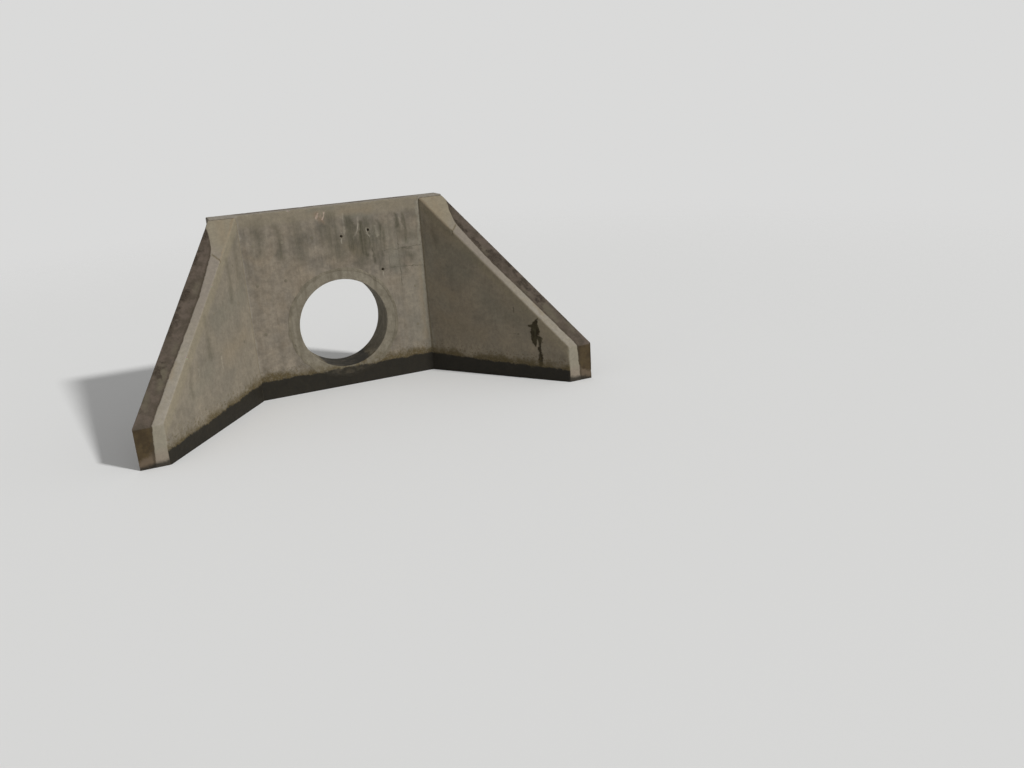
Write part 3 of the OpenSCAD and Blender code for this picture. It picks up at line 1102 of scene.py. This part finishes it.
def standing(vector, up, level):
    # Where water stands: a wet film with a wavy edge, and a soft fringe of growth above it
    over, wave = up - level, noise(vector, 5.0, 5.0, 0.55)
    wet = shaken(shaken(over, wave, 0.1), noise(vector, 34.0, 4.0, 0.65), 0.07)
    soft = shaken(over, wave, 0.4)
    return {"wet": drop(wet, -0.014, 0.02), "fringe": drop(soft, -0.04, 0.2)}


def strokeRound(place, start, finish, half, endHalf, soft):
    # A stain round the line between two places. Its half width changes evenly, and its edge is soft
    way, reach = vectorCalc("SUBTRACT", finish, start)[0], vectorCalc("SUBTRACT", place, start)[0]
    ahead, whole = (vectorCalc("DOT_PRODUCT", v, way)["Value"] for v in (reach, way))
    share = calc("DIVIDE", ahead, whole, clamp=True)
    nearest = vectorCalc("MULTIPLY_ADD", way, share, start)[0]
    away = vectorCalc("DISTANCE", place, nearest)["Value"] - calc("MULTIPLY_ADD", share, endHalf - half, half)
    return {"mask": drop(away, soft * -1.0, soft)}


grainGroup = makeGroup(castGrain, ["vector"], ["pinholes"])
runOffGroup = makeGroup(runOff, ["vector"], ["low", "start", "reach", "scale", "cover"])
tideGroup = makeGroup(standing, ["vector"], ["up", "level"])
strokeGroup = makeGroup(strokeRound, ["place", "start", "finish"], ["half", "endHalf", "soft"])


def newMaterial(name):
    material = bpy.data.materials.new(name)
    material.use_nodes = True
    tree = material.node_tree
    return material, tree, tree.nodes["Principled BSDF"], addNode("TexCoord", {}, tree)["Object"]


def finishSurface(shader, colour, rough, height, strength, depth):
    normal = addNode("Bump", {"Height": height, "Strength": strength, "Distance": depth})["Normal"]
    feed(shader, {"Base Color": colour, "Roughness": rough, "Normal": normal, "Specular IOR Level": 0.3})


def strokes(spot, rows):
    # The strongest of several strokes: strength, from, to, half width at both ends, softness
    total = 0.0
    for strength, start, finish, half, endHalf, soft in rows:
        mask = useGroup(strokeGroup, place=spot, start=(*start, 0), finish=(*finish, 0), half=half,
                        endHalf=endHalf, soft=soft)["mask"]
        total = larger(total, mask * strength)
    return total


wallPaint = {name: (*rgb, 1) for name, rgb in {  # linear colours
    "pale": (0.218, 0.190, 0.144),
    "grey": (0.176, 0.157, 0.123),
    "warm": (0.222, 0.178, 0.118),
    "clean": (0.224, 0.197, 0.139),
    "rinsedAndLit": (0.218, 0.198, 0.154),
    "bleachedAndLit": (0.266, 0.238, 0.195),
    "ashen": (0.218, 0.188, 0.156),
    "endPale": (0.240, 0.216, 0.160),
    "endWarm": (0.226, 0.186, 0.140),
    "bank": (0.110, 0.093, 0.068),
    "stripEdgeDark": (0.044, 0.034, 0.020),
    "stain": (0.060, 0.055, 0.034),
    "lime": (0.350, 0.315, 0.245),
    "green": (0.158, 0.152, 0.117),
    "line": (0.084, 0.076, 0.054),
    "growth": (0.078, 0.057, 0.022),
    "moss": (0.060, 0.044, 0.018),
    "slime": (0.010, 0.008, 0.004),
    "silt": (0.058, 0.047, 0.030),
    "soil": (0.094, 0.072, 0.055),
    "soilDark": (0.058, 0.045, 0.031),
    "olive": (0.108, 0.093, 0.063),
    "endSoil": (0.063, 0.042, 0.017),
    "endDark": (0.036, 0.022, 0.008),
    "crackMoss": (0.140, 0.112, 0.062),
    "caked": (0.030, 0.021, 0.014),
    "ledge": (0.122, 0.090, 0.060),
    "tar": (0.022, 0.015, 0.004),
    "tarDry": (0.042, 0.034, 0.015),
    "dry": (0.072, 0.064, 0.036),
    "flake": (0.430, 0.330, 0.270),
    "rust": (0.190, 0.115, 0.065),
    "broken": (0.270, 0.245, 0.205),
}.items()}

headLook = {
    "pinholes": 0.3,
    "spread": 0.12,  # half width of the change between the clouds' tones
    "uneven": 0.15,  # how far patches depart from the tone
    "drawn": 1.0,  # strength of the threads and streaks
    "warmth": 0.42,
    "tide": 0.285,  # level of the water line at the wall's start, and its change for each metre along it
    "tideFall": 0.0,
    "bump": (0.5, 0.002),  # strength and depth
}
wingLook = {**headLook, "spread": 0.2, "uneven": 0.09, "drawn": 0.35, "warmth": 0.12}
wingLook.update({"tide": 0.275, "tideFall": -0.036})


def wallMaterial(name, marks, tintAndLight, v):
    # A multiplier of the whole wall's tone: partly the wall's own tone, partly painted light that raises the
    # right wing, whose channel face is in shade, and lowers the sunlit headwall
    material, tree, shader, coords = newMaterial(name)
    wing, spread, uneven, drawn = v is wingLook, v["spread"], v["uneven"], v["drawn"]
    field = {title: attribute(tree, title)["Fac"] for title in fieldNames + broadMarks}
    broken, arris, beyond, caked, cracked = (field[title] for title in fieldNames)
    across, inside, low = split(attribute(tree, "place")["Vector"])
    up = split(coords)[2]
    grain = useGroup(grainGroup, vector=coords, pinholes=v["pinholes"])
    onFace, offFace = drop(inside, 0.006, 0.014), rise(inside, 0.002, 0.008)
    onTop = drop(low, 0.006, 0.014)
    buried = rise(inside, wingThick - 0.014, wingThick - 0.006)
    if not wing:
        buried = larger(buried, rise(calc("ABSOLUTE", across), wallHigh.x - 0.014, wallHigh.x - 0.006))
    bare = 1.0 - buried
    # Broad clouds of tone, with threads that run down the faces
    colour = blend(rise(grain["cloud"], 0.5 - spread, 0.5 + spread), "grey", "pale")
    warm = rise(noise(stretched(coords, 0.6, 9.0), 2.3, 5.0, 0.6, 0.5), 0.45, 0.7)
    colour = coats(colour, (warm * larger(buried * -0.34 + v["warmth"], 0.05), "warm"))
    threads = noise(stretched(coords, 0.05, 5.0), 19.0, 5.0, 0.6, 0.1)
    mottle = noise(coords, 9.0, 7.0, 0.72)
    patches = noise(stretched(coords, 1.4, 4.0), 3.6, 4.0, 0.55)
    colour = shaded(colour, rise(threads, 0.3, 0.7, 1 - 0.08 * drawn, 1 + 0.07 * drawn)
                    * rise(mottle, 0.32, 0.68, 0.99 - uneven, 0.99 + uneven)
                    * rise(patches, 0.34, 0.66, 1 - uneven * 0.4, 1 + uneven * 0.4))
    colour = coats(colour, (drop(shaken(low, mottle, 0.18), 0.12, 0.24, 0.7), "clean"))
    for strength, sizes in (
        (0.3, {"scale": 6.0, "cover": 0.55, "start": 0.18, "reach": 0.9}),
        (0.2, {"scale": 21.0, "cover": 0.5, "start": 0.2, "reach": 1.2}),
    ):
        streak = useGroup(runOffGroup, vector=coords, low=low, **sizes)["mask"]
        colour = coats(colour, (streak * (buried * -0.6 + 1.0) * (strength * drawn), "stain"))
    colour = blend(1.0, colour, tintAndLight, "MULTIPLY")
    # Marks at known places, their outlines shaken by coarse and fine noise
    if wing:
        onStrip = offFace * bare
        endTone = blend(rise(up, 0.12, 0.3), "endWarm", "endPale")
        colour = coats(
            colour,
            (onStrip * rise(across, 0.3, 2.0, 0.1, 0.95) * rise(mottle, 0.35, 0.6, 0.6, 1.0), "bleachedAndLit"),
            (onStrip * rise(across, 0.4, 0.64) * drop(across, 1.0, 1.8, 0.8), "ashen"),
            (onStrip * rise(low, 0.0, 0.03, 0.0, 0.75), endTone),
        )
    else:
        # Past the inner corners the headwall is paler: on its top this is its own tone, on the face by the
        # joints it is painted light that lifts the joints' shade.
        aside = shaken(calc("ABSOLUTE", across), mottle, 0.1)
        flank = rise(aside, cornerX - 0.03, cornerX + 0.03) * bare
        worn = onTop * rise(inside, 0.004, 0.014)
        rear = rise(shaken(shaken(inside, mottle, 0.22), patches, 0.45), 0.13, 0.2, 0.0, 0.7)
        colour = coats(colour, (larger(worn * 0.75, flank), "bleachedAndLit"),
                       (worn * rear * (flank * -0.9 + 1.0), "soil"))
    hairs = noise(stretched(coords, 0.04, 2.0), 60.0, 3.0, 0.6)
    ragged = rise(threads, 0.36, 0.58, 0.62, 1.0) * rise(hairs, 0.34, 0.6, 0.8, 1.0)
    # The clean marks are partly painted light by the inner corners.
    colour = coats(colour, (field["green"], "green"), (field["warm"], "warm"), (field["clean"], "rinsedAndLit"),
                   (field["stain"] * ragged, "stain"))

    def wander(spot, scale, detail, rough, reach):
        # The place on the wall, moved by noise
        shake = vectorCalc("SUBTRACT", noise(coords, scale, detail, rough, key="Color"), (0.5, 0.5, 0.5))[0]
        return vectorCalc("MULTIPLY_ADD", shake, (*reach, 0.0), spot)[0]

    spot = addNode("CombineXYZ", {0: across, 1: up})[0]
    spot = wander(wander(spot, 5.0, 4.0, 0.62, (0.055, 0.055)), 28.0, 4.0, 0.62, (0.06, 0.06))
    torn = wander(spot, 13.0, 5.0, 0.7, (0.07, 0.05))
    patchy = rise(mottle, 0.38, 0.56, 0.25, 1.0)
    crumbs = noise(coords, 55.0, 4.0, 0.65)
    tufts = patchy * rise(crumbs, 0.36, 0.56, 0.45, 1.0)
    dried = blend(rise(mottle, 0.44, 0.6) * rise(up, 0.5, 0.64), "tar", "tarDry")
    for title in ("lime", "rust", "flake", "line", "moss", "tar", "dry"):
        if title in marks:
            at, cover = {"tar": (torn, 1.0), "moss": (spot, tufts)}.get(title, (spot, patchy))
            mask = strokes(at, marks[title]) * onFace * cover
            colour = coats(colour, (mask, dried if title == "tar" else title))
    # Behind the pale strip along the channel edge, the top and the end of a wing are stained by soil
    rim = shaken(shaken(beyond, grain["fine"], 0.025), mottle, 0.018)
    lumps = noisy(coords, 0.36, 0.62, 7.0, 6.0, 0.7)
    soilTone = blend(lumps, "soilDark", "soil")
    if wing:
        endTone = blend(lumps, "endDark", "endSoil")
        soilTone = coats(soilTone, (field["green"], "olive"), (rise(low, 0.01, 0.03), endTone))
    ledge = inside * 0.6 + shaken(up, mottle, 0.2)
    soilTone = coats(soilTone, (drop(ledge, 0.255, 0.325, 0.85), "ledge"))
    # A dark line just behind the pale strip's edge
    edgeDark = rise(rim, -0.002, 0.006) * drop(rim, 0.012, 0.034, 0.6)
    edgeDark = edgeDark * rise(mottle, 0.36, 0.54, 0.45, 1.0)
    colour = coats(colour, (rise(rim, -0.006, 0.008) * 0.97, soilTone), (edgeDark, "stripEdgeDark"))
    if wing:
        colour = coats(colour, (cracked * 0.75, "crackMoss"))
    cakedTone = blend(rise(crumbs, 0.4, 0.62), "caked", "soilDark")
    # The buried sides are tinged by the bank, more towards the foot
    clay = rise(noise(stretched(coords, 1.6, 6.0), 2.2, 6.0, 0.62), 0.3, 0.7, 0.5, 1.0)
    colour = coats(colour, (caked * rise(mottle, 0.3, 0.55, 0.5, 1.0), cakedTone),
                   (buried * clay * rise(up, 0.1, 2.7, 0.8, 0.4), "bank"))
    # A dark mat of growth stands on the water line, thinner towards a wing's end, with specks above it
    level = across * v["tideFall"] + v["tide"]
    above = up - level
    drift = shaken(above, noise(coords, 3.5, 6.0, 0.62), 0.3)
    mat = mottle * 0.22 + (across * 0.014 + drift if wing else drift)
    mat = drop(mat, 0.13, 0.27, 0.95) * rise(crumbs, 0.34, 0.56, 0.62, 1.0)
    specks = noisy(coords, 0.52, 0.6, 26.0, 5.0, 0.7) * drop(above, 0.05, 0.3, 0.7)
    tide = useGroup(tideGroup, vector=coords, up=up, level=level)
    foot = drop(inside * 0.16 + shaken(up, mottle, 0.1), 0.05, 0.115, 0.92) * bare
    wet = larger(tide["wet"] * onFace, foot)
    colour = coats(colour, (larger(mat, specks) * onFace, "growth"),
                   (wet * rise(mottle, 0.3, 0.7, 0.99, 0.93), "slime"))
    if not wing:  # moss along the arris between face and top
        mossy = arris * onTop * drop(inside, 0.02, 0.03) * rise(threads, 0.42, 0.52)
        colour = coats(colour, (mossy * 0.25, "growth"))
    # Fresh breaks show paler paste and stones
    stones = addNode("TexVoronoi", {"Vector": coords, "Scale": 70.0}, feature="F1")
    stone = blend(0.35, "broken", stones["Color"], "SOFT_LIGHT")
    colour = coats(colour, (broken * (1.0 - larger(caked, wet)) * 0.45, stone))
    fine, speck = rise(grain["fine"], 0.3, 0.7, 0.9, 1.09), rise(grain["speck"], 0.3, 0.7, 0.92, 1.08)
    # The pinholes are darkened in the colour too: painted shade in them.
    colour = shaded(colour, fine * speck * (grain["hole"] * -0.4 + 1.0))
    gloss = wet * -0.22 + rise(grain["fine"], 0.3, 0.7, 0.84, 0.96)
    height = broken * stones["Distance"] * 1.5 + grain["height"]
    finishSurface(shader, colour, gloss, height, *v["bump"])
    return material


fittingPaint = {  # two tones, dirt, cover of the dirt, roughness, bump strength
    "mortarPaste": ((0.208, 0.182, 0.134), (0.158, 0.138, 0.102), (0.086, 0.074, 0.049), 0.50, 0.92, 0.8),
    "limeCrust": ((0.330, 0.300, 0.240), (0.260, 0.236, 0.186), (0.150, 0.135, 0.105), 0.35, 0.85, 0.9),
    # The sealant's three tones are made paler: painted light that lifts the shade in its recessed joint.
    "jointSealantAndPaintedLight": ((0.200, 0.168, 0.112), (0.150, 0.127, 0.086), (0.230, 0.190, 0.124), 0.40, 0.80, 0.3),
    "soakedBoard": ((0.105, 0.082, 0.055), (0.062, 0.048, 0.033), (0.130, 0.110, 0.080), 0.45, 0.90, 0.9),
    "pipeConcrete": ((0.228, 0.203, 0.154), (0.178, 0.156, 0.116), (0.094, 0.080, 0.054), 0.45, 0.84, 0.4),
}


def fittingMaterial(name, fibre=1.0, tideLevel=-1.0, insideLevel=None):
    # Two clouded tones, dirt in patches that run down, and a damp foot where there is a tide level, which
    # may stand higher behind the headwall's face
    *tones, cover, rough, strength = fittingPaint[name]
    light, dark, dirt = ((*rgb, 1) for rgb in tones)
    material, _, shader, coords = newMaterial(name)
    _, back, up = split(coords)
    grain = useGroup(grainGroup, vector=coords, pinholes=0.2)
    if insideLevel is not None:
        # Behind the face and further out than the groove, the pipe is in the wall and stays dry
        tideLevel = rise(back, faceY + 0.002, faceY + 0.012, tideLevel, insideLevel)
        fromAxis = vectorCalc("SUBTRACT", coords, (0.0, 0.0, layout["pipeAxis"]))[0]
        fromAxis = vectorCalc("LENGTH", vectorCalc("MULTIPLY", fromAxis, (1.0, 0.0, 1.0))[0])["Value"]
        outside = rise(fromAxis, 0.775, 0.78) * rise(back, faceY + 0.01, faceY + 0.02)
        tideLevel = outside * -2.0 + tideLevel
    tone = noise(stretched(coords, fibre), 13.0, 6.0, 0.65)
    sizes = {"low": 0.5, "start": 0.0, "reach": 4.0, "scale": 12.0, "cover": 0.6}
    streak = useGroup(runOffGroup, vector=coords, **sizes)["mask"]
    patchy = noisy(coords, 0.42, 0.66, 5.0, 5.0, 0.65, 0.0, cover)
    tide = useGroup(tideGroup, vector=coords, up=up, level=tideLevel)
    silt = noisy(coords, 0.42, 0.66, 9.0, 6.0, 0.68, 0.0, 0.0 if insideLevel is None else 0.7)
    colour = coats(
        blend(rise(tone, 0.36, 0.64), dark, light),
        (larger(streak * cover, patchy), dirt),
        (tide["fringe"] * noisy(coords, 0.38, 0.6, 16.0, 5.0, 0.7, 0.2, 0.85), "growth"),
        (tide["wet"] * 0.92, blend(silt, "slime", "silt")),
    )
    colour = shaded(colour, rise(grain["speck"], 0.3, 0.7, 0.88, 1.12))
    gloss = tide["wet"] * -0.22 + rise(tone, 0.3, 0.7, rough, rough + 0.06)
    finishSurface(shader, colour, gloss, tone * 0.5 + grain["height"], strength, 0.0015)
    return material


def dress(material, *pieces):
    for piece in pieces:
        piece.data.materials.clear()
        piece.data.materials.append(material)


# The tints are partly painted light: the right wing's shaded face raised, the sunlit headwall lowered.
dress(wallMaterial("headwallConcrete", headMarks, (0.96, 0.94, 0.95, 1), headLook), headwall, fins[0])
dress(wallMaterial("rightWingConcrete", rightMarks, (1.07, 1.03, 0.98, 1), wingLook), rightWing, fins[1])
dress(wallMaterial("leftWingConcrete", leftMarks, (1.0, 0.98, 0.96, 1), wingLook), leftWing, fins[2])
dress(fittingMaterial("mortarPaste", 1.0, 0.275), mortar, *plugs, *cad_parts.values())
dress(fittingMaterial("limeCrust", 0.3), crusts)
dress(fittingMaterial("jointSealantAndPaintedLight", 1.0, 0.275), *sealants)
dress(fittingMaterial("soakedBoard", 0.1, 0.2), *boards)
dress(fittingMaterial("pipeConcrete", 1.0, 0.285, 0.41), pipe)
print("materials made:", len(bpy.data.materials))

studio = {
    "sunFrom": (0.505, -0.635, 0.6),
    "sunPower": 2.5,
    "sunWide": 5.0,
    "fill": 0.37,
    "floor": (0.8, 0.8, 0.79, 1),
    "backdrop": (0.7, 0.7, 0.695, 1),
}


def addStudio(v):
    mesh = bpy.data.meshes.new("floor")
    mesh.from_pydata([(-90, -90, 0), (90, -90, 0), (90, 90, 0), (-90, 90, 0)], [], [(0, 1, 2, 3)])
    floor = addObject("floor", mesh)
    material, tree, shader, coords = newMaterial("floorPaint")
    surface = feed(shader, {"Base Color": v["floor"], "Roughness": 0.9})[0]
    # Far from the object the floor gives way to the pale background
    away = rise(vectorCalc("LENGTH", coords)["Value"], 7.0, 24.0)
    mix = addNode("MixShader", {0: away, 1: surface, 2: addNode("BsdfTransparent", {}, tree)[0]})
    feed(tree.nodes["Material Output"], {"Surface": mix[0]})
    mesh.materials.append(material)
    data = bpy.data.lights.new("key", "SUN")
    data.energy, data.angle = v["sunPower"], math.radians(v["sunWide"])
    key = addObject("key", data)
    key.rotation_mode = "QUATERNION"
    key.rotation_quaternion = Vector(v["sunFrom"]).to_track_quat("Z", "Y")
    world = bpy.data.worlds.new("studio")
    bpy.context.scene.world = world
    world.use_nodes = True
    tree = world.node_tree
    fill = feed(tree.nodes["Background"], {"Color": (1, 1, 1, 1), "Strength": v["fill"]})[0]
    seen = addNode("Background", {"Color": v["backdrop"], "Strength": 1.0}, tree)[0]
    rays = addNode("LightPath", {}, tree)
    direct = larger(rays["Is Camera Ray"], rays["Is Transmission Ray"])
    mix = addNode("MixShader", {0: direct, 1: fill, 2: seen})
    feed(tree.nodes["World Output"], {"Surface": mix[0]})


addStudio(studio)
